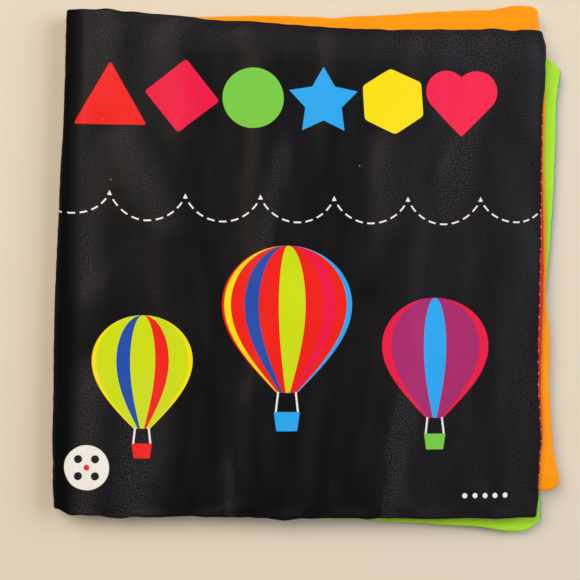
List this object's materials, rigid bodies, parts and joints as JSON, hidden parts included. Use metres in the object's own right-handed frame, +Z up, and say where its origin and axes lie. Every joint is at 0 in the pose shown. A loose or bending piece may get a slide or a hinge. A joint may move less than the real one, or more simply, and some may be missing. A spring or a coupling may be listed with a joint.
{
  "type": "crinkle book",
  "caption": "Soft square cloth book, closed: padded covers on a sewn fold that open flat both ways, and a padded inner sheet sewn in as its leaves.",
  "frame": {"origin": "centre of the back cover's underside, the flat face that the closed book lies on", "axes": "+X from the sewn fold to the fore-edge, +Y to the head of the page, +Z up through the thickness to the front cover"},
  "size_m": [0.1592, 0.1682, 0.011],
  "materials": {
    "cover_cloth": "black printed polyester, satin sheen",
    "page_cloth": "orange and lime printed polyester, satin sheen"
  },
  "bodies": {
    "book_block": {"pages": "page_cloth", "spine": "cover_cloth"},
    "front": {"front_cover": "cover_cloth"},
    "back": {"back_cover": "cover_cloth"}
  },
  "joints": [
    {"name": "front_cover_hinge", "type": "hinge", "parent": "book_block", "child": "front", "pos_m": [-0.0753, 0, 0.00833], "axis": [0, -1, 0], "range_deg": [0, 179.5]},
    {"name": "back_cover_hinge", "type": "hinge", "parent": "book_block", "child": "back", "pos_m": [-0.0753, 0, 0.00267], "axis": [0, 1, 0], "range_deg": [0, 179.5]}
  ]
}
